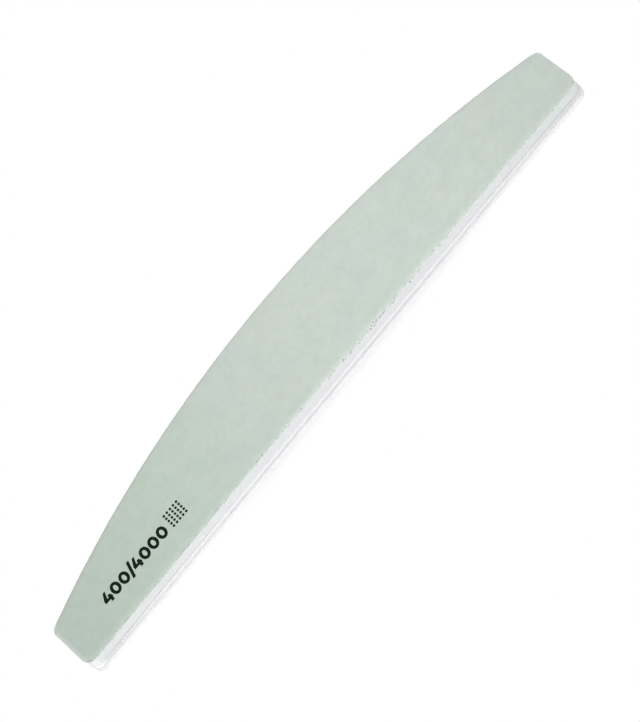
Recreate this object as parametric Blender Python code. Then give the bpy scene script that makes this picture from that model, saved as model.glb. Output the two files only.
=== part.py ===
# Half-moon nail file: a nearly straight long edge, a bowed long edge and two short cut ends.
# Nine sheets are bonded into one board: abrasive, film, foam, film, core, film, foam, film, abrasive.
# The board lies flat. X runs along its length, Y across it to the bowed edge, Z up through the sheets.
# The origin is on the underside, at the middle of the outline's box.

import math

import bmesh
import bpy

# Outline, seen from above
LENGTH = 0.178
WIDTH = 0.0284
END_HEIGHT = 0.0139
STRAIGHT_EDGE_HOLLOW = 0.0004
STRAIGHT_CORNER_RADIUS = 0.0025
BOWED_CORNER_RADIUS = 0.0020
SHARPEST_CORNER_RADIUS = 0.00005

# Sheets
UPPER_ABRASIVE_THICKNESS = 0.0003
UPPER_FACE_FILM_THICKNESS = 0.00012
UPPER_FOAM_THICKNESS = 0.00355
UPPER_CORE_FILM_THICKNESS = 0.00015
CORE_THICKNESS = 0.00145
LOWER_CORE_FILM_THICKNESS = 0.00015
LOWER_FOAM_THICKNESS = 0.0015
LOWER_FACE_FILM_THICKNESS = 0.00012
LOWER_ABRASIVE_THICKNESS = 0.0003

# Die-cut edge: the die rolls the faces over at their rim and squeezes the foam, which springs back hollow
ROLL_WIDTH = 0.0013
UPPER_ROLL_DROP = 0.00028
LOWER_ROLL_DROP = 0.00012
FOAM_SETBACK = 0.00008
FOAM_PINCH = 0.00012
FACE_FILM_SETBACK = 0.00012
CORE_SETBACK = 0.00006
CORE_FILM_SETBACK = 0.0001
CORE_BEVEL = 0.00005

# Steps in each curve
BOW_STEPS = 30
STRAIGHT_EDGE_STEPS = 10
CORNER_STEPS = 6
ROLL_STEPS = 3
FOAM_WALL_STEPS = 6
SHARP_ANGLE = math.radians(35.0)

# Colours in linear light, with roughness
SAGE_ABRASIVE = (0.53, 0.61, 0.55), 0.92
FINE_ABRASIVE = (0.84, 0.845, 0.86), 0.80
WHITE_FOAM = (0.80, 0.81, 0.82), 0.85
CLEAR_ADHESIVE = (0.58, 0.57, 0.59), 0.45
WHITE_PLASTIC = (0.88, 0.88, 0.89), 0.40


def clear_scene():
    for obj in list(bpy.data.objects):
        bpy.data.objects.remove(obj)


def arc(centre, radius, start, end, steps):
    points = []
    for step in range(steps + 1):
        angle = start + (end - start) * step / steps
        points.append((centre[0] + radius * math.cos(angle), centre[1] + radius * math.sin(angle)))
    return points


def mirrored(points):
    """The same points on the other side of the board's middle, still anticlockwise."""
    return [(-x, y) for x, y in reversed(points)]


def bow_circle():
    """The radius of the bowed edge and the height of its centre."""
    half_chord = LENGTH / 2
    rise = WIDTH - END_HEIGHT
    radius = (half_chord ** 2 + rise ** 2) / (2 * rise)
    return radius, WIDTH / 2 - radius


def hollow_circle():
    """The radius of the straight edge's slight hollow and the height of its centre, far below the board.

    It touches both corner rounds, whose lowest points lie on the bottom of the outline's box.
    """
    corner_x = LENGTH / 2 - STRAIGHT_CORNER_RADIUS
    reach = corner_x ** 2 + STRAIGHT_EDGE_HOLLOW ** 2
    radius = (reach - 2 * STRAIGHT_CORNER_RADIUS * STRAIGHT_EDGE_HOLLOW) / (2 * STRAIGHT_EDGE_HOLLOW)
    return radius, STRAIGHT_EDGE_HOLLOW - WIDTH / 2 - radius


def outline(inset):
    """The board's outline drawn in by inset, anticlockwise from the right end of the straight edge."""
    bow_radius, bow_y = bow_circle()
    bow_radius -= inset
    hollow_radius, hollow_y = hollow_circle()
    hollow_radius += inset
    end_x = LENGTH / 2 - inset
    low_radius = max(STRAIGHT_CORNER_RADIUS - inset, SHARPEST_CORNER_RADIUS)
    high_radius = max(BOWED_CORNER_RADIUS - inset, SHARPEST_CORNER_RADIUS)

    low_x = end_x - low_radius
    low_centre = (low_x, hollow_y + math.sqrt((hollow_radius + low_radius) ** 2 - low_x ** 2))
    low_tangent = math.atan2(low_centre[1] - hollow_y, low_x)
    high_x = end_x - high_radius
    high_centre = (high_x, bow_y + math.sqrt((bow_radius - high_radius) ** 2 - high_x ** 2))
    high_tangent = math.atan2(high_centre[1] - bow_y, high_x)

    low_corner = arc(low_centre, low_radius, low_tangent - math.pi, 0.0, CORNER_STEPS)
    high_corner = arc(high_centre, high_radius, 0.0, high_tangent, CORNER_STEPS)
    bow = arc((0.0, bow_y), bow_radius, high_tangent, math.pi - high_tangent, BOW_STEPS)
    hollow = arc((0.0, hollow_y), hollow_radius, math.pi - low_tangent, low_tangent, STRAIGHT_EDGE_STEPS)
    left_end = mirrored(high_corner) + mirrored(low_corner)
    return low_corner + high_corner + bow[1:-1] + left_end + hollow[1:-1]


def roll_insets():
    """Where each rolled face has a ring, from the flat outwards, so that bonded faces match exactly."""
    band = ROLL_WIDTH - FACE_FILM_SETBACK
    insets = {FACE_FILM_SETBACK + band * step / ROLL_STEPS for step in range(ROLL_STEPS + 1)}
    return sorted(insets | {FOAM_SETBACK, 0.0}, reverse=True)


def face_height(face, inset):
    """The height of a face at an inset. A face is its flat height and the drop of its rolled rim."""
    height, drop = face
    into_roll = max(0.0, 1 - inset / ROLL_WIDTH)
    return height - drop * into_roll ** 2


def face_section(face, rim):
    """A face's rings from the flat out to just inside its rim: none where it is flat to the rim."""
    if not face[1]:
        return []
    return [(inset, face_height(face, inset)) for inset in roll_insets() if inset > rim]


def straight_wall(rim, low, high):
    return [(rim, low), (rim, high)]


def bevelled_wall(rim, low, high):
    """The stamped edge of the core, with both its corners broken."""
    return [
        (rim + CORE_BEVEL, low),
        (rim, low + CORE_BEVEL),
        (rim, high - CORE_BEVEL),
        (rim + CORE_BEVEL, high),
    ]


def pinched_wall(rim, low, high):
    """The edge of a foam pad, hollow between the two faces that hold it."""
    wall = []
    for step in range(FOAM_WALL_STEPS + 1):
        share = step / FOAM_WALL_STEPS
        wall.append((rim + FOAM_PINCH * math.sin(math.pi * share), low + (high - low) * share))
    return wall


def edge_section(low_face, high_face, rim, wall):
    """One sheet's edge as (inset, height) steps: out along its underside, up its wall, back along its top."""
    under = face_section(low_face, rim)
    over = face_section(high_face, rim)
    return under + wall(rim, face_height(low_face, rim), face_height(high_face, rim)) + over[::-1]


def swept_round_outline(name, section):
    """A closed mesh: the edge section carried round the outline, with its flat faces filled."""
    bm = bmesh.new()
    rings = [[bm.verts.new((x, y, z)) for x, y in outline(inset)] for inset, z in section]
    for lower, upper in zip(rings, rings[1:]):
        for i in range(len(lower)):
            bm.faces.new((lower[i - 1], lower[i], upper[i], upper[i - 1]))
    bm.faces.new(rings[0][::-1])
    bm.faces.new(rings[-1])
    mesh = bpy.data.meshes.new(name)
    bm.to_mesh(mesh)
    bm.free()
    mesh.shade_smooth()
    mesh.set_sharp_from_angle(angle=SHARP_ANGLE)
    return mesh


def plain_material(name, finish):
    colour, roughness = finish
    material = bpy.data.materials.new(name)
    material.use_nodes = True
    shader = material.node_tree.nodes["Principled BSDF"]
    shader.inputs["Base Color"].default_value = (*colour, 1.0)
    shader.inputs["Roughness"].default_value = roughness
    shader.inputs["Metallic"].default_value = 0.0
    return material


def sheets():
    """Each sheet from the table up: name, thickness, roll of its lower and upper face, rim inset, wall, finish."""
    up, down, flat = UPPER_ROLL_DROP, -LOWER_ROLL_DROP, 0.0
    return [
        ("lower_abrasive_sheet", LOWER_ABRASIVE_THICKNESS, down, down, 0.0, straight_wall, FINE_ABRASIVE),
        ("lower_face_adhesive", LOWER_FACE_FILM_THICKNESS, down, down, FACE_FILM_SETBACK, straight_wall,
         CLEAR_ADHESIVE),
        ("lower_foam_pad", LOWER_FOAM_THICKNESS, down, flat, FOAM_SETBACK, pinched_wall, WHITE_FOAM),
        ("lower_core_adhesive", LOWER_CORE_FILM_THICKNESS, flat, flat, CORE_FILM_SETBACK, straight_wall,
         CLEAR_ADHESIVE),
        ("plastic_core", CORE_THICKNESS, flat, flat, CORE_SETBACK, bevelled_wall, WHITE_PLASTIC),
        ("upper_core_adhesive", UPPER_CORE_FILM_THICKNESS, flat, flat, CORE_FILM_SETBACK, straight_wall,
         CLEAR_ADHESIVE),
        ("upper_foam_pad", UPPER_FOAM_THICKNESS, flat, up, FOAM_SETBACK, pinched_wall, WHITE_FOAM),
        ("upper_face_adhesive", UPPER_FACE_FILM_THICKNESS, up, up, FACE_FILM_SETBACK, straight_wall,
         CLEAR_ADHESIVE),
        ("upper_abrasive_sheet", UPPER_ABRASIVE_THICKNESS, up, up, 0.0, straight_wall, SAGE_ABRASIVE),
    ]


def build_board():
    board = bpy.data.objects.new("nail_file", None)
    bpy.context.scene.collection.objects.link(board)
    base = 0.0
    for name, thickness, low_roll, high_roll, rim, wall, finish in sheets():
        section = edge_section((0.0, low_roll), (thickness, high_roll), rim, wall)
        sheet = bpy.data.objects.new(name, swept_round_outline(name, section))
        sheet.data.materials.append(plain_material(name, finish))
        sheet.location.z = base
        sheet.parent = board
        bpy.context.scene.collection.objects.link(sheet)
        base += thickness


clear_scene()
build_board()
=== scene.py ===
# Half-moon nail file dressed for a picture on a white table.
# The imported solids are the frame. Both abrasive sheets and both foam pads are remade finer in their places,
# with the cut edge that the die leaves. The core and the four adhesive films keep their solids.
import math
import random

import bmesh
import bpy
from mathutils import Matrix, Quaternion, Vector, noise


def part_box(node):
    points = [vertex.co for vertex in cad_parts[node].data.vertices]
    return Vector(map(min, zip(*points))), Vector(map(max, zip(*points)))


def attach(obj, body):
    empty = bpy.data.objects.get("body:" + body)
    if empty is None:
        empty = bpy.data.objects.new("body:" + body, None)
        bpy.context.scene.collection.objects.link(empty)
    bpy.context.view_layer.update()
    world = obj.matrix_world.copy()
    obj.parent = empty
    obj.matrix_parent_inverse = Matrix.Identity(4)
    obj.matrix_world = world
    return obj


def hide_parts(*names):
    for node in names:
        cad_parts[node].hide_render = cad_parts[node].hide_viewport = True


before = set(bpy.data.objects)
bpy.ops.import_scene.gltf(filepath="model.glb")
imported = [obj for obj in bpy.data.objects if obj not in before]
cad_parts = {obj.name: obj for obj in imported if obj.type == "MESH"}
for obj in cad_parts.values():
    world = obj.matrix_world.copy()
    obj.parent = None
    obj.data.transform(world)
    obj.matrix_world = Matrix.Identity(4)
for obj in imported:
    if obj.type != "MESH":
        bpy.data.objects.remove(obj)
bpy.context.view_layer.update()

mm = 0.001
print("frame loaded with", len(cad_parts), "sheets")


# Outline of the board, seen from above, shared by every sheet
board = {
    "endHeight": 13.9 * mm,            # of the two short cut ends
    "straightHollow": 0.4 * mm,        # the straight edge is cut a little hollow
    "straightCornerRadius": 2.5 * mm,  # where an end meets the straight edge
    "bowedCornerRadius": 2.0 * mm,     # where an end meets the bowed edge
    "columnSpacing": 0.15 * mm,        # between columns of points round the rim
    "rollWidth": 1.3 * mm,             # band that the cutting die rolls over
    "upperRollDrop": 0.28 * mm,
    "lowerRollDrop": 0.12 * mm,
    "crossRows": 12,                   # rows of points from the straight edge to the bowed one
    "clearance": 0.01 * mm,            # between a foam pad and the films beside it
    "sharpAngle": math.radians(50.0),  # sharper corners aren't shaded smooth
}


def arcPoints(centre, radius, start, end, steps):  # without its last point, so that stretches join up
    angles = [start + (end - start) * step / steps for step in range(steps)]
    return [Vector((centre[0] + radius * math.cos(angle), centre[1] + radius * math.sin(angle)))
            for angle in angles]


def linePoints(start, end, steps):  # also without its last point
    start, end = Vector(start), Vector(end)
    return [start.lerp(end, step / steps) for step in range(steps)]


def drawOutline(inset, steps):
    # Anticlockwise from the right end of the straight edge, with the same count of points at any inset
    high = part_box("upper_abrasive_sheet")[1]
    rise = 2 * high.y - board["endHeight"]
    bowRadius = (high.x ** 2 + rise ** 2) / (2 * rise)
    bowY = high.y - bowRadius
    endX = high.x - inset
    lowRadius = board["straightCornerRadius"] - inset
    highRadius = board["bowedCornerRadius"] - inset
    highX = endX - highRadius
    highY = bowY + math.sqrt((bowRadius - inset - highRadius) ** 2 - highX ** 2)
    highTurn = math.atan2(highY - bowY, highX)

    # The straight edge is an arc about a far centre below the board, and touches both corner rounds
    hollow = board["straightHollow"]
    lowX, lowY = endX - lowRadius, inset - high.y + lowRadius
    hollowRadius = (lowX ** 2 + hollow ** 2 - 2 * board["straightCornerRadius"] * hollow) / (2 * hollow)
    hollowY = hollow - high.y - hollowRadius
    lowTurn = math.atan2(lowY - hollowY, lowX)

    points = arcPoints((lowX, lowY), lowRadius, lowTurn - math.pi, 0.0, steps["corner"])
    points += linePoints((endX, lowY), (endX, highY), steps["end"])
    points += arcPoints((highX, highY), highRadius, 0.0, highTurn, steps["corner"])
    points += arcPoints((0.0, bowY), bowRadius - inset, highTurn, math.pi - highTurn, steps["long"])
    points += arcPoints((-highX, highY), highRadius, math.pi - highTurn, math.pi, steps["corner"])
    points += linePoints((-endX, highY), (-endX, lowY), steps["end"])
    points += arcPoints((-lowX, lowY), lowRadius, math.pi, 2 * math.pi - lowTurn, steps["corner"])
    points += arcPoints((0.0, hollowY), hollowRadius + inset, math.pi - lowTurn, lowTurn, steps["long"])
    return points


def measureOutline():
    # Columns round the rim: where each stands, which way is in, and where the long edges start
    spacing = board["columnSpacing"]
    length = 2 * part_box("upper_abrasive_sheet")[1].x
    steps = {
        "corner": round(board["straightCornerRadius"] * math.pi / 2 / spacing),
        "end": round(board["endHeight"] / 2 / spacing),
        "long": round(length / spacing),
    }
    rim = drawOutline(0.0, steps)
    inner = drawOutline(board["rollWidth"], steps)
    inward = [(b - a) / board["rollWidth"] for a, b in zip(rim, inner)]
    return {"rim": rim, "inward": inward, "bowStart": 2 * steps["corner"] + steps["end"],
            "straightStart": len(rim) - steps["long"], "long": steps["long"]}


outline = measureOutline()
print("outline drawn with", len(outline["rim"]), "columns")


def rolledHeight(flat, drop, inset):  # a face's height: flat in the middle, falling by drop to the rim
    intoRoll = max(0.0, 1 - inset / board["rollWidth"])
    return flat - drop * intoRoll ** 2


def ripple(x, y, size, seed):  # smooth noise from -1 to 1
    return noise.noise(Vector((x / size, y / size, seed)))


def fillFace(bm, ring, height, wave, upwards):
    # A grid from the straight edge to the bowed one, with one polygon at each cut end
    rows, count = board["crossRows"], outline["long"]
    rungs = []
    for k in range(count + 1):
        low = ring[(outline["straightStart"] + count - k) % len(ring)]
        high = ring[outline["bowStart"] + k]
        between = []
        for row in range(1, rows):
            x, y, _ = low.co.lerp(high.co, row / rows)
            between.append(bm.verts.new((x, y, height + wave(x, y, height))))
        rungs.append([low, *between, high])
    faces = []
    for right, left in zip(rungs, rungs[1:]):
        for row in range(rows):
            faces.append((right[row], right[row + 1], left[row + 1], left[row]))
    faces.append((*ring[:outline["bowStart"] + 1], *rungs[0][-2:0:-1]))
    faces.append((*ring[outline["bowStart"] + count:outline["straightStart"] + 1], *rungs[-1][1:-1]))
    for corners in faces:
        bm.faces.new(corners if upwards else corners[::-1])


def makePiece(name, bm):
    mesh = bpy.data.meshes.new(name)
    bm.to_mesh(mesh)
    bm.free()
    piece = bpy.data.objects.new(name, mesh)
    bpy.context.scene.collection.objects.link(piece)
    return piece


def buildSheet(name, section, pushIn, wave, marks):
    # section: rows of (inset, height) from the flat underside out, up the cut edge and back in over the top
    # pushIn: how far the die has pushed a point inwards. wave: how far the faces lie off their plane
    # marks: values from 0 to 1 that the finish reads at each point
    bm = bmesh.new()
    layers = {label: bm.verts.layers.float.new(label) for label in marks}
    rings = []
    for row, (inset, height) in enumerate(section):
        ring = []
        for point, inward in zip(outline["rim"], outline["inward"]):
            x, y = point + inward * (inset + pushIn(point, row, inset, height))
            vert = bm.verts.new((x, y, height + wave(x, y, height)))
            for label, layer in layers.items():
                vert[layer] = marks[label](point, row, inset)
            ring.append(vert)
        rings.append(ring)
    for lower, upper in zip(rings, rings[1:]):
        for i in range(len(lower)):
            bm.faces.new((lower[i - 1], lower[i], upper[i], upper[i - 1]))
    fillFace(bm, rings[0], section[0][1], wave, upwards=False)
    fillFace(bm, rings[-1], section[-1][1], wave, upwards=True)
    piece = makePiece(name, bm)
    piece.data.shade_smooth()
    piece.data.set_sharp_from_angle(angle=board["sharpAngle"])
    return piece


def placePiece(piece, node):
    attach(piece, "root")
    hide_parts(node)


# Abrasive sheets: paper with a coat of grit, nibbled along the cut
sageSheet = {
    "name": "sage_grit_sheet",
    "node": "upper_abrasive_sheet",
    "slot": "sage_abrasive",
    "gritUp": True,
    "drop": board["upperRollDrop"],
    "insets": (1.3, 1.05, 0.82, 0.62, 0.45, 0.31, 0.20, 0.12, 0.06),  # rows on the rolled face, in mm
    "wander": 0.02 * mm,       # slow drift of the cut line
    "wanderSize": 9.0 * mm,
    "nibble": 0.22 * mm,       # bites out of the grit along the cut
    "nibbleSize": 0.7 * mm,
    "nibbleStart": 0.22,       # the noise bites above this level
    "waviness": 0.02 * mm,     # of the grit face
    "wavinessSize": 14.0 * mm,
    "seed": 11.0,
}
fineSheet = {
    "name": "fine_grit_sheet",
    "node": "lower_abrasive_sheet",
    "slot": "fine_abrasive",
    "gritUp": False,
    "drop": -board["lowerRollDrop"],
    "insets": (1.3, 0.95, 0.62, 0.36, 0.18, 0.07),
    "wander": 0.03 * mm,
    "wanderSize": 11.0 * mm,
    "nibble": 0.10 * mm,
    "nibbleSize": 0.45 * mm,
    "nibbleStart": 0.2,
    "waviness": 0.0,
    "seed": 41.0,
}
coatCut = {
    # Rows up the cut edge: inset in mm, share of the way from the paper's face to the grit's
    "wall": ((0.02, 0.0), (0.0, 0.2), (0.0, 0.5), (0.0, 0.8), (0.02, 0.95)),
    "rimBand": 0.16 * mm,      # rows this near the rim lie at its rolled height
    "paperBite": 0.35,         # share of a bite that goes through the paper
    "rubbedAndLitLeast": 0.6,        # the rim is rubbed unevenly, and painted lighter as a highlight
    "rubbedAndLitSwing": 0.4,
    "rubbedAndLitSize": 6 * mm,
}


def abrasiveSection(sheet, low, high):
    # The bonded face has few rows, because it never shows. The grit face has them all
    grit = [inset * mm for inset in sheet["insets"]]
    inner, outer = (low, high) if sheet["gritUp"] else (high, low)
    paper = [(inset, rolledHeight(inner, sheet["drop"], inset)) for inset in (grit[0], grit[len(grit) // 2])]
    rimInner, rimOuter = [rolledHeight(face, sheet["drop"], 0.0) for face in (inner, outer)]
    wall = [(inset * mm, rimInner + (rimOuter - rimInner) * share) for inset, share in coatCut["wall"]]
    face = [(inset, rolledHeight(outer, sheet["drop"], inset)) for inset in reversed(grit)]
    bareRows = len(paper) + len(wall) - 1   # the last row of the wall is in the coat
    section = paper + wall + face
    return (section if sheet["gritUp"] else section[::-1]), bareRows


def sheetWave(sheet, x, y):
    return sheet["waviness"] * (ripple(x, y, sheet["wavinessSize"], sheet["seed"] + 2) - 1) / 2


def buildAbrasive(sheet):
    low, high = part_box(sheet["node"])
    drop, seed = sheet["drop"], sheet["seed"]
    # The box holds the rolled rim, which reaches past the flat of the face that is bonded
    flatLow, flatHigh = (low.z + drop, high.z) if sheet["gritUp"] else (low.z, high.z + drop)
    section, bareRows = abrasiveSection(sheet, flatLow, flatHigh)
    gritHeight = flatHigh if sheet["gritUp"] else flatLow

    def pushIn(point, row, inset, height):  # drift and bites fade out within twice the depth of a bite
        rimDrop = drop if inset < coatCut["rimBand"] else 0.0
        inCoat = 1 - min(1.0, abs(height - gritHeight + rimDrop) / (flatHigh - flatLow))
        drift = sheet["wander"] * (1 + ripple(point.x, point.y, sheet["wanderSize"], seed))
        bite = max(0.0, ripple(point.x, point.y, sheet["nibbleSize"], seed + 1) - sheet["nibbleStart"])
        depth = sheet["nibble"] * bite * (coatCut["paperBite"] + (1 - coatCut["paperBite"]) * inCoat)
        return math.exp(-inset / (2 * sheet["nibble"])) * (drift + depth)

    def wave(x, y, height):
        onGrit = height >= (flatLow + flatHigh) / 2 - drop
        return sheetWave(sheet, x, y) if sheet["waviness"] and onGrit else 0.0

    def edge(point, row, inset):  # 1 at the rim, 0 on the flat
        return max(0.0, 1 - inset / board["rollWidth"])

    # Paler rim: real rubbing together with a painted highlight, strongest at the rim
    def rubbedAndLit(point, row, inset):
        uneven = coatCut["rubbedAndLitSwing"] * ripple(point.x, point.y, coatCut["rubbedAndLitSize"], seed + 3)
        return edge(point, row, inset) ** 2 * (coatCut["rubbedAndLitLeast"] + uneven)

    def bare(point, row, inset):  # 1 on the paper, at the cut and on the bonded side. 0 on the coat
        fromPaper = row if sheet["gritUp"] else len(section) - 1 - row
        return 1.0 if fromPaper < bareRows else 0.0

    marks = {"edge": edge, "rubbedAndLit": rubbedAndLit, "bare": bare}
    piece = buildSheet(sheet["name"], section, pushIn, wave, marks)
    placePiece(piece, sheet["node"])
    return piece


# Foam pads: closed-cell foam, squeezed by the die and sprung back hollow, with the cut cells open
upperFoam = {"name": "upper_foam", "node": "upper_foam_pad", "upperDrop": board["upperRollDrop"],
             "lowerDrop": 0.0, "cellDepth": 0.07 * mm, "seed": 21.0}
lowerFoam = {"name": "lower_foam", "node": "lower_foam_pad", "upperDrop": 0.0,
             "lowerDrop": -board["lowerRollDrop"], "cellDepth": 0.035 * mm, "seed": 33.0}
foam = {
    "slot": "white_foam",
    "setback": 0.08 * mm,      # of the pad's rim from the cut line
    "pinch": 0.07 * mm,        # depth of the hollow at half height
    "rowHeight": 0.16 * mm,
    "swell": 0.25,             # the hollow is deeper and shallower along the edge, by this share
    "swellSize": 7.0 * mm,
    "creep": 0.018 * mm,       # small unevenness
    "creepSize": 1.1 * mm,
    "cellSize": 0.42 * mm,
    "cellReach": 0.45,         # radius of an open cell, as a share of its size
    "cellPick": 7.3,           # spreads the cells' random numbers
    "closedShare": 0.45,       # cells below this number stay closed
    "cellFade": 6,             # cells are whole from a sixth of the height off either face
    "faceInsets": (1.3, 0.6, 0.25),    # rows on the bonded faces, in mm
    "fill": 0.9,
}


def openCell(x, y, z):  # 1 in the middle of a cut cell, 0 on the skin between cells
    distances, points = noise.voronoi(Vector((x, y, z)) / foam["cellSize"])
    opened = noise.cell(points[0] * foam["cellPick"]) > foam["closedShare"]
    return max(0.0, 1 - distances[0] / foam["cellReach"]) ** 2 if opened else 0.0


def buildFoam(pad):
    low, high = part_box(pad["node"])
    flatLow, flatHigh = low.z + board["clearance"], high.z - board["clearance"]
    rimLow = rolledHeight(flatLow, pad["lowerDrop"], foam["setback"])
    rimHigh = rolledHeight(flatHigh, pad["upperDrop"], foam["setback"])
    rows = round((rimHigh - rimLow) / foam["rowHeight"])
    faceInsets = [inset * mm for inset in foam["faceInsets"]]
    section = [(inset, rolledHeight(flatLow, pad["lowerDrop"], inset)) for inset in faceInsets]
    section += [(foam["setback"], rimLow + (rimHigh - rimLow) * row / rows) for row in range(rows + 1)]
    section += [(inset, rolledHeight(flatHigh, pad["upperDrop"], inset)) for inset in reversed(faceInsets)]
    wallRows = range(len(faceInsets), len(faceInsets) + rows + 1)

    def pushIn(point, row, inset, height):
        if row not in wallRows:
            return 0.0
        share = (height - rimLow) / (rimHigh - rimLow)
        swell = 1 + foam["swell"] * ripple(point.x, point.y, foam["swellSize"], pad["seed"])
        creep = foam["creep"] * (1 + noise.noise(Vector((point.x, point.y, height)) / foam["creepSize"]))
        fade = min(1.0, foam["cellFade"] * share, foam["cellFade"] * (1 - share))
        cell = pad["cellDepth"] * openCell(point.x, point.y, height) * fade
        return foam["pinch"] * math.sin(math.pi * share) * swell + creep + cell

    piece = buildSheet(pad["name"], section, pushIn, lambda x, y, height: 0.0, {})
    placePiece(piece, pad["node"])
    return piece


# Print: plain grit numbers and a block of dots in one dark ink
ink = {
    "text": "400/4000",
    "left": -75.43 * mm,
    "baseline": -8.0 * mm,
    "height": 3.5 * mm,
    "zeroWidth": 2.8 * mm,
    "fourWidth": 2.62 * mm,
    "pitch": {"0": 3.1 * mm, "4": 2.92 * mm, "/": 1.5 * mm},
    "slashTuck": 0.38 * mm,    # the slash stands this much closer to the zero before it
    "slashLean": 0.4,          # shares of the height
    "slashOverhang": 0.14,
    "stroke": 0.84 * mm,
    "thickness": 0.02 * mm,
    "lift": 0.002 * mm,
    "roundSteps": 48,
    "dotsLeft": -51.15 * mm,   # centre of the first dot
    "dotsBottom": -7.63 * mm,
    "dotPitch": 1.12 * mm,     # along the board
    "dotRowPitch": 0.97 * mm,
    "dotRadius": 0.35 * mm,
    "dotColumns": 5,
    "dotRows": 5,
    "dotSteps": 20,
}
four = {
    "barFrom": 0.22,           # shares of the height
    "stemTop": 0.6,
    "stemFrom": 0.6,           # shares of the width
    "slantTop": (0.44, 0.72),
    "barWeight": 0.92,         # shares of the stroke
    "slantFoot": 1.25,
}


def inkTop(x, y):  # the ink follows the sheet's slow waves
    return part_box(sageSheet["node"])[1].z + sheetWave(sageSheet, x, y) + ink["lift"]


def inkSolid(bm, faces):  # flat faces, given as lists of (x, y), made into a thin closed print
    made = {}

    def vert(x, y):
        key = (round(x, 9), round(y, 9))
        if key not in made:
            made[key] = bm.verts.new((x, y, inkTop(x, y)))
        return made[key]

    bottom = [bm.faces.new([vert(x, y) for x, y in corners][::-1]) for corners in faces]
    raised = bmesh.ops.extrude_face_region(bm, geom=bottom, use_keep_orig=True)["geom"]
    for item in raised:
        if isinstance(item, bmesh.types.BMVert):
            item.co.z += ink["thickness"]


def ellipse(centreX, centreY, halfWidth, halfHeight, steps):
    return [(centreX + halfWidth * math.cos(2 * math.pi * k / steps),
             centreY + halfHeight * math.sin(2 * math.pi * k / steps)) for k in range(steps)]


def block(left, right, low, high):
    return (left, low), (right, low), (right, high), (left, high)


def inkZero(bm, x, y):
    halfWidth, halfHeight = ink["zeroWidth"] / 2, ink["height"] / 2
    centre = (x + halfWidth, y + halfHeight)
    outer = ellipse(*centre, halfWidth, halfHeight, ink["roundSteps"])
    inner = ellipse(*centre, halfWidth - ink["stroke"], halfHeight - ink["stroke"], ink["roundSteps"])
    inkSolid(bm, [(outer[k - 1], outer[k], inner[k], inner[k - 1]) for k in range(ink["roundSteps"])])


def inkFour(bm, x, y):
    # An open four: a slanted stroke down to a crossbar, and a stem through the bar
    height, width, stroke = ink["height"], ink["fourWidth"], ink["stroke"]
    barLow = y + height * four["barFrom"]
    barHigh = barLow + stroke * four["barWeight"]
    stemLeft = x + width * four["stemFrom"]
    stemRight = stemLeft + stroke
    foot = x + stroke * four["slantFoot"]
    topLeft, topRight = [(x + width * share, y + height) for share in four["slantTop"]]
    inkSolid(bm, [
        ((x, barLow), (stemLeft, barLow), (stemLeft, barHigh), (foot, barHigh), (x, barHigh)),
        ((x, barHigh), (foot, barHigh), topRight, topLeft),
        block(stemLeft, stemRight, barLow, barHigh),
        block(stemLeft, stemRight, y, barLow),
        block(stemLeft, stemRight, barHigh, y + height * four["stemTop"]),
        block(stemRight, x + width, barLow, barHigh),
    ])


def inkSlash(bm, x, y):
    x -= ink["slashTuck"]
    lean, over = ink["height"] * ink["slashLean"], ink["height"] * ink["slashOverhang"]
    low, high = y - over, y + ink["height"] + over
    right = x + ink["stroke"]
    inkSolid(bm, [((x, low), (right, low), (right + lean, high), (x + lean, high))])


def inkPiece(name, draw):
    bm = bmesh.new()
    draw(bm)
    bmesh.ops.recalc_face_normals(bm, faces=bm.faces)
    piece = makePiece(name, bm)
    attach(piece, "root")
    return piece


def drawNumbers(bm):
    x = ink["left"]
    draw = {"0": inkZero, "4": inkFour, "/": inkSlash}
    for glyph in ink["text"]:
        draw[glyph](bm, x, ink["baseline"])
        x += ink["pitch"][glyph]


def drawDots(bm):
    for column in range(ink["dotColumns"]):
        for row in range(ink["dotRows"]):
            x = ink["dotsLeft"] + column * ink["dotPitch"]
            y = ink["dotsBottom"] + row * ink["dotRowPitch"]
            inkSolid(bm, [ellipse(x, y, ink["dotRadius"], ink["dotRadius"], ink["dotSteps"])])


# Crumbs: loose grit and foam dust that cling along the cut. Heights and sizes are in mm
# thick: where along the board they lie thickest, how far that reaches and how thick, from 0 to 1
crumbs = {
    "grit_crumbs": {"node": "upper_abrasive_sheet", "below": (0.25, 1.1), "spacing": 0.45,
                    "size": (0.055, 0.11), "share": 0.48, "thick": (30, 45, 0.25), "tone": "dark", "seed": 3},
    "stray_crumbs": {"node": "upper_abrasive_sheet", "below": (0.4, 1.6), "spacing": 0.4,
                     "size": (0.09, 0.16), "share": 0.0, "thick": (15, 12, 0.95), "tone": "dark", "seed": 25},
    "rosy_crumbs": {"node": "upper_abrasive_sheet", "below": (1.0, 1.7), "spacing": 1.3,
                    "size": (0.12, 0.17), "share": 0.0, "thick": (17, 7, 0.6), "tone": "rosy", "seed": 31},
    "paper_crumbs": {"node": "upper_abrasive_sheet", "below": (0.5, 1.4), "spacing": 0.7,
                     "size": (0.09, 0.17), "share": 0.45, "thick": (20, 40, 0.2), "tone": "pale", "seed": 7},
    "core_dust": {"node": "plastic_core", "below": (0.2, 0.75), "spacing": 0.7,
                  "size": (0.16, 0.26), "share": 0.42, "thick": (5, 30, 0.2), "tone": "pale", "seed": 12},
    "seam_crumbs": {"node": "lower_core_adhesive", "below": (-0.1, 0.35), "spacing": 1.1,
                    "size": (0.05, 0.11), "share": 0.4, "thick": (0, 30, 0.2), "tone": "grey", "seed": 18},
}
crumbShape = {"inset": 0.05 * mm, "insetSpread": 0.05 * mm, "jitter": 0.3, "clumpSize": 11 * mm,
              "contrast": 2.2}


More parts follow.
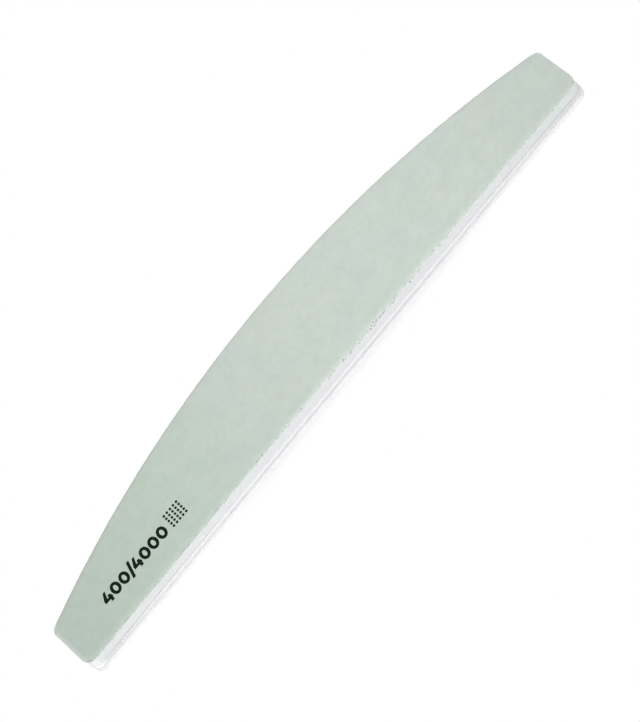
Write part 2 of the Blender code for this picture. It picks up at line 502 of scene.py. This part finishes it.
def crumbShare(point, kind):  # how many of the places hold a crumb
    at, reach, most = kind["thick"]
    clump = 1 + crumbShape["contrast"] * ripple(point.x, point.y, crumbShape["clumpSize"], kind["seed"])
    return kind["share"] * clump + most * math.exp(-((point.x / mm - at) / reach) ** 2)


def buildCrumbs(name, kind):
    chance = random.Random(kind["seed"])
    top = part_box(kind["node"])[1].z
    step = max(1, round(kind["spacing"] * mm / board["columnSpacing"]))
    bm = bmesh.new()
    for start in range(0, len(outline["rim"]), step):
        column = (start + chance.randrange(step)) % len(outline["rim"])
        point, inward = outline["rim"][column], outline["inward"][column]
        if chance.random() > crumbShare(point, kind):
            continue
        radius = chance.uniform(*kind["size"]) * mm
        x, y = point + inward * (crumbShape["inset"] + chance.uniform(0.0, crumbShape["insetSpread"]))
        z = top - chance.uniform(*kind["below"]) * mm
        for vert in bmesh.ops.create_icosphere(bm, subdivisions=1, radius=radius)["verts"]:
            stretch = 1 + chance.uniform(-crumbShape["jitter"], crumbShape["jitter"])
            vert.co = vert.co * stretch + Vector((x, y, z))
    piece = makePiece(name, bm)
    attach(piece, "root")
    return piece


# Node helpers
def feed(tree, socket, value):  # link a socket, or set it
    if isinstance(value, bpy.types.NodeSocket):
        tree.links.new(value, socket)
    elif socket.type == "RGBA":
        socket.default_value = (*value, 1.0)
    else:
        socket.default_value = value


def addNode(tree, kind, inputs=None, **settings):
    made = tree.nodes.new(kind)
    for key, value in settings.items():
        setattr(made, key, value)
    for key, value in (inputs or {}).items():
        feed(tree, made.inputs[key], value)
    return made


def compute(tree, operation, *values):
    return addNode(tree, "ShaderNodeMath", dict(enumerate(values)), operation=operation).outputs[0]


def times(tree, product, *factors):
    for factor in factors:
        product = compute(tree, "MULTIPLY", product, factor)
    return product


def oneLess(tree, mask):
    return compute(tree, "SUBTRACT", 1.0, mask)


def larger(tree, first, second):
    return compute(tree, "MAXIMUM", first, second)


def ramp(tree, value, fromLow, fromHigh, toLow=0.0, toHigh=1.0):
    limits = {"Value": value, "From Min": fromLow, "From Max": fromHigh, "To Min": toLow, "To Max": toHigh}
    return addNode(tree, "ShaderNodeMapRange", limits, interpolation_type="SMOOTHSTEP").outputs["Result"]


def splitAxes(tree, vector):
    return addNode(tree, "ShaderNodeSeparateXYZ", {0: vector}).outputs


def perSize(tree, size):  # a texture's scale from the size of its features
    return compute(tree, "DIVIDE", 1.0, size)


def noiseValue(tree, where, scale, detail, roughness=0.5, seed=None):
    inputs = {"Vector": where, "Scale": scale, "Detail": detail, "Roughness": roughness}
    if seed is None:
        return addNode(tree, "ShaderNodeTexNoise", inputs).outputs["Fac"]
    return addNode(tree, "ShaderNodeTexNoise", {**inputs, "W": seed}, noise_dimensions="4D").outputs["Fac"]


def layOver(tree, colour, over, *shares, blend="MIX"):  # as strongly as the product of the shares
    made = addNode(tree, "ShaderNodeMix", {0: times(tree, *shares), 6: colour, 7: over}, data_type="RGBA",
                   blend_type=blend)
    return made.outputs[2]


# Node groups: effects that several finishes share. Each is placed by a vector, and the rest are plain values
def newGroup(name, settings, results):
    group = bpy.data.node_groups.new(name, "ShaderNodeTree")
    group.interface.new_socket(name="Where", in_out="INPUT", socket_type="NodeSocketVector")
    for label in settings:
        group.interface.new_socket(name=label, in_out="INPUT", socket_type="NodeSocketFloat")
    for label in results:
        group.interface.new_socket(name=label, in_out="OUTPUT", socket_type="NodeSocketFloat")
    return group, group.nodes.new("NodeGroupInput").outputs, group.nodes.new("NodeGroupOutput").inputs


def makeMottleGroup():
    # Slow patches, small clouds and an even speckle in a coating. Each runs from 0 to 1 about 0.5
    noiseRange, sizes = (0.3, 0.7), ["Patch Size", "Cloud Size"]
    group, given, out = newGroup("coatingMottle", sizes, ["Patches", "Clouds", "Speckle"])
    patchScale, cloudScale = [perSize(group, given[size]) for size in sizes]
    for label, scale, seed in (("Patches", patchScale, 3.0), ("Clouds", cloudScale, 8.0)):
        cloud = noiseValue(group, given["Where"], scale, detail=3.0, roughness=0.55, seed=seed)
        feed(group, out[label], ramp(group, cloud, *noiseRange))
    speckle = noiseValue(group, given["Where"], cloudScale, detail=6.0, roughness=0.9, seed=15.0)
    feed(group, out["Speckle"], speckle)
    return group


def makeGritGroup():
    # Grains of abrasive set in resin: a height for bump, and flecks where a grain stands proud
    lumpShare, fleckFrom = 0.3, 0.9
    group, given, out = newGroup("abrasiveGrit", ["Grain Size"], ["Height", "Flecks"])
    scale = perSize(group, given["Grain Size"])
    grains = addNode(group, "ShaderNodeTexVoronoi", {"Vector": given["Where"], "Scale": scale}).outputs
    lumps = noiseValue(group, given["Where"], times(group, scale, lumpShare), detail=4.0)
    feed(group, out["Height"], compute(group, "ADD", oneLess(group, grains["Distance"]), lumps))
    pick = addNode(group, "ShaderNodeSeparateColor", {"Color": grains["Color"]}).outputs
    feed(group, out["Flecks"], ramp(group, pick["Red"], fleckFrom, 1.0))
    return group


def makeFibreGroup():
    # Short stray fibres and lint, in two directions
    slender, strandRange = (1.0, 9.0, 1.0), (0.66, 0.78)
    group, given, out = newGroup("strayFibres", ["Length"], ["Mask"])
    scale = perSize(group, given["Length"])
    masks = []
    for turn, seed in ((0.5, 1.0), (1.9, 5.0)):
        placed = addNode(group, "ShaderNodeMapping", {"Vector": given["Where"], "Rotation": (0.0, 0.0, turn),
                                                      "Scale": slender}).outputs["Vector"]
        strands = noiseValue(group, placed, scale, detail=1.0, seed=seed)
        masks.append(ramp(group, strands, *strandRange))
    feed(group, out["Mask"], larger(group, *masks))
    return group


def makeDustGroup():
    # Sanding dust and crumbs that cling to a cut edge: pale and dark specks
    speckRim, speckFull = 0.45, 0.25   # distances from the middle of a speck
    group, given, out = newGroup("cutDust", ["Speck Size", "Share"], ["Pale", "Dark"])
    scale = perSize(group, given["Speck Size"])
    specks = addNode(group, "ShaderNodeTexVoronoi", {"Vector": given["Where"], "Scale": scale}).outputs
    pick = addNode(group, "ShaderNodeSeparateColor", {"Color": specks["Color"]}).outputs
    inside = ramp(group, specks["Distance"], speckRim, speckFull)
    for channel, label in (("Red", "Pale"), ("Green", "Dark")):
        chosen = compute(group, "GREATER_THAN", pick[channel], oneLess(group, given["Share"]))
        feed(group, out[label], times(group, chosen, inside))
    return group


def makeEndsGroup():
    # 0 along the board and 1 at its cut ends, with the right end as strong as its share
    group, given, out = newGroup("towardsEnds", ["From", "To", "Right Share"], ["Mask"])
    along = splitAxes(group, given["Where"])["X"]
    right = ramp(group, along, given["From"], given["To"])
    left = ramp(group, times(group, along, -1.0), given["From"], given["To"])
    feed(group, out["Mask"], larger(group, left, times(group, right, given["Right Share"])))
    return group


groups = {
    "ends": makeEndsGroup(),
    "mottle": makeMottleGroup(),
    "grit": makeGritGroup(),
    "fibres": makeFibreGroup(),
    "dust": makeDustGroup(),
}
print("shared effects built:", ", ".join(groups))


def useGroup(tree, name, where, values):
    return addNode(tree, "ShaderNodeGroup", {"Where": where, **values}, node_tree=groups[name]).outputs


def newMaterial(name, look):
    material = bpy.data.materials.new(name)
    material.use_nodes = True
    tree = material.node_tree
    for key, value in look["shader"].items():
        tree.nodes["Principled BSDF"].inputs[key].default_value = value
    where = addNode(tree, "ShaderNodeTexCoord").outputs["Object"]
    mottle = useGroup(tree, "mottle", where, {"Patch Size": look["patch"], "Cloud Size": look["cloud"]})
    return material, tree, where, mottle


def setFinish(material, look, colour, wear, height):  # wear moves the roughness between its two values
    tree = material.node_tree
    shader = tree.nodes["Principled BSDF"]
    smooth, rough = look["roughness"]
    bump = addNode(tree, "ShaderNodeBump", {"Height": height, "Distance": look["relief"]})
    feed(tree, shader.inputs["Base Color"], colour)
    feed(tree, shader.inputs["Roughness"], compute(tree, "MULTIPLY_ADD", wear, rough - smooth, smooth))
    feed(tree, shader.inputs["Normal"], bump.outputs["Normal"])
    return material


def paintEndShading(tree, where, colour, endShading):
    # endShading: the colour painted towards the left end, paler for painted light and darker for painted
    # shade, from and to where in mm, and how much of it the right end has
    endColour, start, stop, rightShare = endShading
    ends = useGroup(tree, "ends", where, {"From": start * mm, "To": stop * mm, "Right Share": rightShare})
    return layOver(tree, colour, endColour, ends["Mask"])


def dustOver(tree, where, colour, look):
    # dust: pale and dark specks, each with its colour and strength
    dust = useGroup(tree, "dust", where, {"Speck Size": look["dustSize"], "Share": look["dustShare"]})
    for label, (tone, strength) in look["dust"].items():
        colour = layOver(tree, colour, tone, dust[label], strength)
    return colour


def climb(tree, height, wander, look):  # 0 at the foot of a wall, 1 at its top, with an uneven line between
    shift = compute(tree, "MULTIPLY_ADD", wander, look["drift"], -look["drift"] / 2)
    return ramp(tree, compute(tree, "ADD", height, shift), *look["climb"])


# Finishes, with colours in linear light
bothCoats = {"shader": {"Specular IOR Level": 0.3}, "fibre": 2.4 * mm, "dustSize": 0.38 * mm,
             "shares": {"greener": 0.8, "clouds": 0.2, "flecks": 0.15, "fibres": 0.4, "rubbedAndLit": 0.5,
                        "paper": 0.45, "chip": 0.8, "speck": 0.75}}
sageCoat = {**bothCoats,
            "colour": (0.585, 0.652, 0.587), "cooler": (0.558, 0.638, 0.585), "paler": (0.68, 0.73, 0.68),
            "rubbedAndLit": (0.70, 0.75, 0.71), "greener": (0.545, 0.653, 0.561), "paper": (0.76, 0.78, 0.76),
            "paintedRimShade": (0.27, 0.31, 0.28), "speck": (0.24, 0.26, 0.245), "chip": (0.93, 0.93, 0.92),
            "endRimHighlight": (0.82, 0.86, 0.84), "endRimHighlightStrength": (0.9, 0.35),       # painted highlight on the end rims; its strength at the left end and the right
            "speckle": 0.36, "dustShare": 0.34, "grain": 0.09 * mm, "relief": 0.02 * mm,
            "patch": 12 * mm, "cloud": 3.2 * mm, "roughness": (0.87, 0.93)}
fineCoat = {**bothCoats,
            "colour": (0.75, 0.755, 0.77), "cooler": (0.70, 0.71, 0.735), "paler": (0.80, 0.805, 0.815),
            "rubbedAndLit": (0.97, 0.97, 0.97), "greener": (0.74, 0.755, 0.76), "paper": (1.0, 1.0, 1.0),
            "paintedRimShade": (1.0, 1.0, 1.0), "speck": (0.6, 0.6, 0.61), "chip": (0.95, 0.95, 0.95),
            "endRimHighlight": (0.9, 0.9, 0.91), "endRimHighlightStrength": (0.5, 0.5),
            "speckle": 0.18, "dustShare": 0.08, "grain": 0.05 * mm, "relief": 0.01 * mm,
            "patch": 18 * mm, "cloud": 2 * mm, "roughness": (0.72, 0.78)}
rimZones = {  # from and to where a mask rises, and its first and last value where they aren't 0 and 1
    "straight": (-11.5 * mm, -13.2 * mm),      # across the board
    "corner": (-12.2 * mm, -13.7 * mm),
    "green": (-20 * mm, -52 * mm),             # along the board
    "pale": (-32 * mm, -10 * mm, 0.15, 1.0),
    "dull": (25 * mm, 50 * mm, 1.0, 0.6),
    # wear: where the ends' painted highlight goes from its left strength to its right
    "wear": (-52 * mm, 52 * mm),
    "end": (86.5 * mm, 87.8 * mm),             # from the middle of the board
    "paintedRimShade": (0.70, 0.93),                    # where the painted rim shade rises, on the edge mark
    "specks": (0.66, 0.8),
}


def abrasiveMaterial(name, coat):
    material, tree, where, mottle = newMaterial(name, coat)
    grit = useGroup(tree, "grit", where, {"Grain Size": coat["grain"]})
    fibres = useGroup(tree, "fibres", where, {"Length": coat["fibre"]})
    dust = useGroup(tree, "dust", where, {"Speck Size": coat["dustSize"], "Share": coat["dustShare"]})
    spot = splitAxes(tree, where)
    shares = coat["shares"]

    # The flat of the coat
    colour = layOver(tree, coat["colour"], coat["cooler"], mottle["Patches"])
    green = ramp(tree, spot["X"], *rimZones["green"])
    colour = layOver(tree, colour, coat["greener"], green, shares["greener"])
    colour = layOver(tree, colour, coat["paler"], mottle["Clouds"], shares["clouds"])
    lint = compute(tree, "MULTIPLY_ADD", grit["Flecks"], shares["flecks"],
                   times(tree, fibres["Mask"], shares["fibres"]))
    colour = layOver(tree, colour, coat["paler"], lint)
    level = compute(tree, "MULTIPLY_ADD", mottle["Speckle"], coat["speckle"], 1 - coat["speckle"] / 2)
    colour = layOver(tree, colour, level, 1.0, blend="MULTIPLY")

    # The rim: paler along the straight edge, from rubbing and a painted highlight; painted shade round the
    # rest, where the die turns it down; a painted highlight at the ends
    edge, rubbedAndLit, bare = [addNode(tree, "ShaderNodeAttribute", attribute_name=mark).outputs["Fac"]
                          for mark in ("edge", "rubbedAndLit", "bare")]
    straight = ramp(tree, spot["Y"], *rimZones["straight"])
    atEnd = ramp(tree, compute(tree, "ABSOLUTE", spot["X"]), *rimZones["end"])
    corner = times(tree, atEnd, ramp(tree, spot["Y"], *rimZones["corner"]))
    offCorner = oneLess(tree, corner)
    pale = times(tree, straight, ramp(tree, spot["X"], *rimZones["pale"]),
                 ramp(tree, spot["X"], *rimZones["dull"]), offCorner)
    # Paler straight rim: rubbing and a painted highlight
    colour = layOver(tree, colour, coat["rubbedAndLit"], rubbedAndLit, pale, shares["rubbedAndLit"])
    flatRim = compute(tree, "SUBTRACT", larger(tree, straight, atEnd), corner)
    # Painted shade on the turned-down rim away from the straight edge, and on the bare cut wall towards the
    # left; the fine sheet's white paints its rim light instead
    rimShadeMask = larger(tree, times(tree, ramp(tree, edge, *rimZones["paintedRimShade"]), oneLess(tree, flatRim)),
                  times(tree, bare, oneLess(tree, pale)))
    colour = layOver(tree, colour, coat["paintedRimShade"], rimShadeMask, mottle["Clouds"])
    colour = layOver(tree, colour, coat["paper"], bare, pale, shares["paper"])
    # Painted highlight on the rolled rim at both ends, stronger at the left
    wear = ramp(tree, spot["X"], *rimZones["wear"], *coat["endRimHighlightStrength"])
    colour = layOver(tree, colour, coat["endRimHighlight"], edge, atEnd, offCorner, wear)

    # Chips and specks along the cut
    onRim = ramp(tree, larger(tree, edge, bare), *rimZones["specks"])
    colour = layOver(tree, colour, coat["chip"], onRim, dust["Pale"], pale, shares["chip"])
    colour = layOver(tree, colour, coat["speck"], onRim, dust["Dark"], mottle["Patches"], shares["speck"])
    return setFinish(material, coat, colour, mottle["Clouds"], grit["Height"])


bothPads = {"shader": {"Specular IOR Level": 0.25}, "patch": 9 * mm, "cloud": 1.2 * mm,
            "dustSize": 0.3 * mm, "dustShare": 0.15, "skin": (0.0, 0.35), "skinDim": 0.25, "patchDim": 0.15,
            "topBandReach": (-25 * mm, -50 * mm), "roughness": (0.8, 0.9)}
upperFoamLook = {**bothPads,
                 "foot": (0.79, 0.793, 0.812), "top": (0.774, 0.798, 0.788), "climb": (4.0 * mm, 6.8 * mm),
                 "drift": 0.4 * mm, "shade": (0.865, 0.875, 0.885), "cell": 0.17 * mm,
                 # Painted light towards the ends, on the foot of the wall and on its top
                 "footEndLight": ((0.97, 0.975, 0.98), 85.3, 88.2, 0.0),
                 "topEndLight": ((0.95, 0.97, 0.96), 85.3, 88.2, 0.0),
                 # topBand: along the top of the pad towards the left end, painted shade under the sheet,
                 # tinted like it
                 "topBand": (0.56, 0.62, 0.58), "topBandClimb": (6.5 * mm, 6.9 * mm),
                 # rightShading: painted shade towards the right end, greyed
                 "rightShading": (0.945, 0.985, 0.97), "rightShadingReach": (58 * mm, 80 * mm), "relief": 0.04 * mm,
                 "dust": {"Pale": ((0.92, 0.92, 0.93), 0.4), "Dark": ((0.45, 0.45, 0.46), 0.12)}}
lowerFoamLook = {**bothPads,
                 # Darker at the top and paler at the foot: painted shade under the core's edge and painted
                 # light near the table
                 "foot": (0.955, 0.955, 0.96), "top": (0.68, 0.676, 0.698), "climb": (0.15 * mm, 1.85 * mm),
                 "drift": 0.3 * mm, "shade": (0.947, 0.942, 0.953), "cell": 0.15 * mm,
                 # Painted light towards the ends, on the foot of the wall and on its top
                 "footEndLight": ((1.0, 1.0, 1.0), 60, 82, 0.0),
                 "topEndLight": ((0.80, 0.797, 0.815), 30, 130, 3.0),
                 # topBand: a paler band along the top of the pad towards the left end
                 "topBand": (0.8, 0.8, 0.82), "topBandClimb": (1.8 * mm, 1.9 * mm),
                 # rightShading: a little painted light towards the right
                 "rightShading": (1.01, 1.01, 1.01), "rightShadingReach": (15 * mm, 45 * mm), "relief": 0.02 * mm,
                 "dust": {"Pale": ((0.92, 0.92, 0.93), 0.4), "Dark": ((0.45, 0.45, 0.46), 0.05)}}


def foamMaterial(name, look):
    material, tree, where, mottle = newMaterial(name, look)
    spot = splitAxes(tree, where)
    cells = addNode(tree, "ShaderNodeTexVoronoi", {"Vector": where, "Scale": 1 / look["cell"]},
                    feature="DISTANCE_TO_EDGE")
    skin = ramp(tree, cells.outputs["Distance"], *look["skin"])
    # Painted light towards the ends
    foot = paintEndShading(tree, where, look["foot"], look["footEndLight"])
    top = paintEndShading(tree, where, look["top"], look["topEndLight"])
    # From foot to top by height; on the lower pad this is painted shade under the core and painted light near
    # the table
    colour = layOver(tree, foot, top, climb(tree, spot["Z"], mottle["Clouds"], look))
    # A band along the top towards the left end: on the upper pad, painted shade under the sheet
    colour = layOver(tree, colour, look["topBand"], ramp(tree, spot["Z"], *look["topBandClimb"]),
                     ramp(tree, spot["X"], *look["topBandReach"]))
    # Painted shade on the upper pad and painted light on the lower pad, towards the right
    colour = layOver(tree, colour, look["rightShading"], ramp(tree, spot["X"], *look["rightShadingReach"]), blend="MULTIPLY")
    patchy = times(tree, mottle["Patches"], look["patchDim"])
    dim = compute(tree, "MULTIPLY_ADD", skin, look["skinDim"], patchy)
    colour = layOver(tree, colour, look["shade"], dim, blend="MULTIPLY")
    colour = dustOver(tree, where, colour, look)
    height = compute(tree, "SUBTRACT", mottle["Clouds"], skin)
    return setFinish(material, look, colour, mottle["Clouds"], height)


coreLook = {"shader": {"IOR": 1.55}, "patch": 15 * mm, "cloud": 2 * mm,
            # The core is darker towards its foot: painted shade
            "foot": (0.705, 0.70, 0.725), "top": (0.785, 0.78, 0.80), "climb": (2.05 * mm, 2.8 * mm),
            "drift": 0.3 * mm, "drag": (0.9, 0.9, 0.9), "dragShare": 0.5, "dragRange": (0.45, 0.75),
            "dragSize": 0.2 * mm, "dragScale": (1.0, 1.0, 0.06),   # lines that the die drags down the cut
            # endShade: painted shade towards both ends; the painted end light lifts the left end again
            "endShade": (0.605, 0.61, 0.62), "endShadeReach": (60 * mm, 92 * mm),
            # endShading: painted light towards the left end
            "endShading": ((0.93, 0.93, 0.935), 83.5, 88.2, 0.15),
            "dustSize": 0.45 * mm, "dustShare": 0.18,
            "dust": {"Pale": ((0.95, 0.95, 0.95), 0.7), "Dark": ((0.4, 0.4, 0.41), 0.35)},
            "roughness": (0.38, 0.53), "relief": 0.02 * mm}


def coreMaterial(name, look):
    material, tree, where, mottle = newMaterial(name, look)
    spot = splitAxes(tree, where)
    stretched = addNode(tree, "ShaderNodeMapping", {"Vector": where, "Scale": look["dragScale"]})
    lines = noiseValue(tree, stretched.outputs["Vector"], 1 / look["dragSize"], detail=3.0)
    drag = ramp(tree, lines, *look["dragRange"])
    colour = layOver(tree, look["foot"], look["top"], climb(tree, spot["Z"], mottle["Clouds"], look))
    colour = layOver(tree, colour, look["drag"], drag, look["dragShare"], blend="MULTIPLY")
    # Painted shade towards both ends
    endShade = ramp(tree, compute(tree, "ABSOLUTE", spot["X"]), *look["endShadeReach"])
    colour = paintEndShading(tree, where, layOver(tree, colour, look["endShade"], endShade), look["endShading"])
    colour = dustOver(tree, where, colour, look)
    return setFinish(material, look, colour, mottle["Clouds"], drag)


# caught: where light catches the film's cut. ends: a colour painted towards the ends, in dashes or all along:
# painted shade of the seams on the upper core film and the upper face film, painted light on the lower films
allFilms = {"shader": {"IOR": 1.47}, "patch": 6 * mm, "cloud": 0.8 * mm, "dashes": 0.0,
            "dustSize": 0.3 * mm, "dustShare": 0.15, "dust": {"Pale": ((0.85, 0.85, 0.86), 0.6)},
            "roughness": (0.42, 0.62), "relief": 0.02 * mm}
# The core films are dark grey to paint the shade in the seams beside the core
films = {
    # endShading: painted light towards the ends on the core films and the lower face film, painted shade
    # under the sheet on the upper face film
    "lower_face_adhesive": {
        **allFilms, "colour": (0.97, 0.97, 0.975), "caught": (1.0, 1.0, 1.0),
        "ends": (1.0, 1.0, 1.0), "endsReach": (50 * mm, 80 * mm), "endShading": ((1.0, 1.0, 1.0), 84, 88, 0.0)},
    "lower_core_adhesive": {
        **allFilms, "colour": (0.42, 0.415, 0.43), "caught": (0.79, 0.785, 0.80), "cloud": 2.2 * mm,
        "ends": (0.70, 0.695, 0.71), "endsReach": (50 * mm, 80 * mm),
        "endShading": ((0.85, 0.85, 0.86), 84, 88.2, 1.0)},
    "upper_core_adhesive": {
        **allFilms, "colour": (0.63, 0.62, 0.65), "caught": (0.78, 0.775, 0.79), "cloud": 1.1 * mm,
        "ends": (0.30, 0.29, 0.315), "endsReach": (30 * mm, 60 * mm), "dashes": 0.7,
        "endShading": ((0.85, 0.845, 0.86), 82, 88.2, 0.15)},
    "upper_face_adhesive": {
        **allFilms, "colour": (0.91, 0.91, 0.92), "caught": (0.94, 0.94, 0.95),
        "ends": (0.5, 0.55, 0.52), "endsReach": (35 * mm, 65 * mm), "endShading": ((0.5, 0.55, 0.52), 84, 88, 0.0)},
}


def filmMaterial(name, look):
    material, tree, where, mottle = newMaterial(name, look)
    colour = layOver(tree, look["colour"], look["caught"], mottle["Clouds"])
    # Painted towards the ends: darker seams on the upper films, lighter on the lower
    filmEndMask = ramp(tree, compute(tree, "ABSOLUTE", splitAxes(tree, where)["X"]), *look["endsReach"])
    broken = compute(tree, "MULTIPLY_ADD", mottle["Clouds"], look["dashes"], 1 - look["dashes"])
    colour = layOver(tree, colour, look["ends"], filmEndMask, broken)
    colour = dustOver(tree, where, paintEndShading(tree, where, colour, look["endShading"]), look)
    return setFinish(material, look, colour, mottle["Patches"], mottle["Clouds"])


crumbLook = {"shader": {"Specular IOR Level": 0.3}, "patch": 4 * mm, "cloud": 0.1 * mm,
             "roughness": (0.8, 0.9), "relief": 0.01 * mm}
crumbTones = {  # colour and shade
    "dark": ((0.22, 0.235, 0.225), (0.12, 0.13, 0.125)),
    "rosy": ((0.66, 0.15, 0.3), (0.5, 0.11, 0.23)),
    "grey": ((0.5, 0.5, 0.51), (0.33, 0.33, 0.34)),
    "pale": ((0.98, 0.98, 0.985), (0.92, 0.92, 0.93)),
}


def crumbMaterial(name, tones):
    material, tree, where, mottle = newMaterial(name, crumbLook)
    colour = layOver(tree, *tones, mottle["Clouds"])
    return setFinish(material, crumbLook, colour, mottle["Patches"], mottle["Clouds"])


inkLook = {"shader": {"Specular IOR Level": 0.08}, "patch": 3 * mm, "cloud": 0.4 * mm, "grain": 0.09 * mm,
           "colour": (0.004, 0.009, 0.006), "thin": (0.03, 0.045, 0.034), "thinFlecks": 0.5,
           "thinClouds": 0.3, "roughness": (0.85, 0.95), "relief": 0.015 * mm}


def inkMaterial(name, look):
    material, tree, where, mottle = newMaterial(name, look)
    grit = useGroup(tree, "grit", where, {"Grain Size": look["grain"]})
    thin = compute(tree, "MULTIPLY_ADD", grit["Flecks"], look["thinFlecks"],
                   times(tree, mottle["Clouds"], look["thinClouds"]))
    colour = layOver(tree, look["colour"], look["thin"], thin)
    return setFinish(material, look, colour, mottle["Clouds"], grit["Height"])


def dress(piece, material):
    piece.data.materials.clear()
    piece.data.materials.append(material)


# The board, from the table up
dress(buildAbrasive(fineSheet), abrasiveMaterial("fine_abrasive_coat", fineCoat))
dress(buildFoam(lowerFoam), foamMaterial("soft_white_foam", lowerFoamLook))
dress(buildFoam(upperFoam), foamMaterial("firm_white_foam", upperFoamLook))
print("foam pads built")
dress(buildAbrasive(sageSheet), abrasiveMaterial("sage_abrasive_coat", sageCoat))
print("abrasive sheets built")

inkFinish = inkMaterial("dark_ink", inkLook)
dress(inkPiece("grit_numbers", drawNumbers), inkFinish)
dress(inkPiece("grit_dots", drawDots), inkFinish)

crumbFinish = {tone: crumbMaterial(tone + "_crumb", tones) for tone, tones in crumbTones.items()}
for name, kind in crumbs.items():
    dress(buildCrumbs(name, kind), crumbFinish[kind["tone"]])
print("print and crumbs built")

dress(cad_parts["plastic_core"], coreMaterial("stamped_plastic", coreLook))
for node, look in films.items():
    dress(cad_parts[node], filmMaterial(node.replace("adhesive", "film"), look))
print("core and adhesive films dressed")


# Table, light and camera
table = {"size": 3.0, "drop": 0.05 * mm, "shade": (0.93, 0.935, 0.925), "glow": (0.06, 0.06, 0.07),
         "middle": 5 * mm, "halfLength": 25 * mm, "halfWidth": 14 * mm, "lengthShare": 0.1, "fade": 3 * mm}
white = (1.0, 1.0, 1.0)


def pastHalf(tree, distance, half):  # how far beyond half the lit zone, or 0 inside it
    return larger(tree, 0.0, compute(tree, "SUBTRACT", compute(tree, "ABSOLUTE", distance), half))


def mixShaders(tree, share, first, second):
    return addNode(tree, "ShaderNodeMixShader", {0: share, 1: first, 2: second}).outputs[0]


def makeTable():
    # White to the camera, with the soft shadow round the middle of the board. It doesn't light the object,
    # and from below it is clear
    bm = bmesh.new()
    bmesh.ops.create_grid(bm, x_segments=1, y_segments=1, size=table["size"] / 2)
    top = makePiece("table_top", bm)
    top.location.z = -table["drop"]
    top.visible_diffuse = False
    top.visible_shadow = False

    material = bpy.data.materials.new("white_table")
    material.use_nodes = True
    tree = material.node_tree
    tree.nodes.clear()
    matt = addNode(tree, "ShaderNodeBsdfDiffuse", {"Color": table["shade"]}).outputs[0]
    glow = addNode(tree, "ShaderNodeEmission", {"Color": table["glow"]}).outputs[0]
    lit = addNode(tree, "ShaderNodeAddShader", {0: matt, 1: glow}).outputs[0]
    bright = addNode(tree, "ShaderNodeEmission", {"Color": white}).outputs[0]
    clear = addNode(tree, "ShaderNodeBsdfTransparent").outputs[0]
    spot = splitAxes(tree, addNode(tree, "ShaderNodeTexCoord").outputs["Object"])
    along = compute(tree, "SUBTRACT", spot["X"], table["middle"])
    pastEnd = times(tree, pastHalf(tree, along, table["halfLength"]), table["lengthShare"])
    pastSide = pastHalf(tree, spot["Y"], table["halfWidth"])
    outward = addNode(tree, "ShaderNodeCombineXYZ", {"X": pastEnd, "Y": pastSide}).outputs[0]
    away = addNode(tree, "ShaderNodeVectorMath", {0: outward}, operation="LENGTH")
    upper = mixShaders(tree, ramp(tree, away.outputs["Value"], 0.0, table["fade"]), lit, bright)
    behind = addNode(tree, "ShaderNodeNewGeometry").outputs["Backfacing"]
    addNode(tree, "ShaderNodeOutputMaterial", {"Surface": mixShaders(tree, behind, upper, clear)})
    dress(top, material)


# Soft light from overhead, and back up from a white table
sky = {"above": 0.62, "below": 1.16, "blend": 0.1}


def makeSky():
    world = bpy.data.worlds.new("studio")
    world.use_nodes = True
    tree = world.node_tree
    tree.nodes.clear()
    ray = addNode(tree, "ShaderNodeLightPath").outputs
    mirrored = larger(tree, ray["Is Glossy Ray"], ray["Is Transmission Ray"])
    direct = larger(tree, ray["Is Camera Ray"], mirrored)
    towards = splitAxes(tree, addNode(tree, "ShaderNodeTexCoord").outputs["Generated"])
    level = ramp(tree, towards["Z"], -sky["blend"], sky["blend"], sky["below"], sky["above"])
    soft, plain = [addNode(tree, "ShaderNodeBackground", {"Color": white, "Strength": strength}).outputs[0]
                   for strength in (level, 1.0)]
    addNode(tree, "ShaderNodeOutputWorld", {"Surface": mixShaders(tree, direct, soft, plain)})
    bpy.context.scene.world = world


lamps = {
    "overhead": {"at": (0.03, 0.0, 0.17), "aim": (0.03, 0.0, 0.0), "size": 0.08, "power": 0.1},
    "front": {"at": (-0.05, -0.25, 0.06), "aim": (-0.02, 0.0, 0.0), "size": 0.12, "power": 0.16},
}


def makeLamp(name, lamp):
    light = bpy.data.lights.new(name, "AREA")
    light.shape = "SQUARE"
    light.size = lamp["size"]
    light.energy = lamp["power"]
    holder = bpy.data.objects.new(name, light)
    holder.location = lamp["at"]
    holder.rotation_euler = (Vector(lamp["aim"]) - Vector(lamp["at"])).to_track_quat("-Z", "Y").to_euler()
    holder.visible_camera = False
    bpy.context.scene.collection.objects.link(holder)


view = {
    "pictureHeight": 722,              # in pixels, and the longer side
    "distance": 0.9,
    "elevation": math.radians(56.24),
    "roll": math.radians(50.13),       # the camera is turned, so that the board stands across the picture
    "focalPixels": 3801.7,
    "sensorWidth": 36.0,
    "nearest": 0.01,
    "farthest": 20.0,
    "aim": (0.0003, -0.00444, 0.0),    # the point on the table in the middle of the picture
}


def makeCamera():
    data = bpy.data.cameras.new("picture_camera")
    data.sensor_width = view["sensorWidth"]
    data.lens = view["focalPixels"] * view["sensorWidth"] / view["pictureHeight"]
    data.clip_start = view["nearest"]
    data.clip_end = view["farthest"]
    camera = bpy.data.objects.new("picture_camera", data)
    back = Vector((0.0, -math.cos(view["elevation"]), math.sin(view["elevation"])))
    camera.location = back * view["distance"]
    facing = (Vector(view["aim"]) - camera.location).to_track_quat("-Z", "Y").to_matrix()
    turn = facing @ Vector((0.0, 0.0, 1.0))
    camera.rotation_mode = "QUATERNION"
    camera.rotation_quaternion = Quaternion(turn, -view["roll"]) @ facing.to_quaternion()
    bpy.context.scene.collection.objects.link(camera)
    bpy.context.scene.camera = camera


makeTable()
makeSky()
for name, lamp in lamps.items():
    makeLamp(name + "_lamp", lamp)
makeCamera()
bpy.context.scene.view_settings.view_transform = "Standard"
print("table, light and camera set")
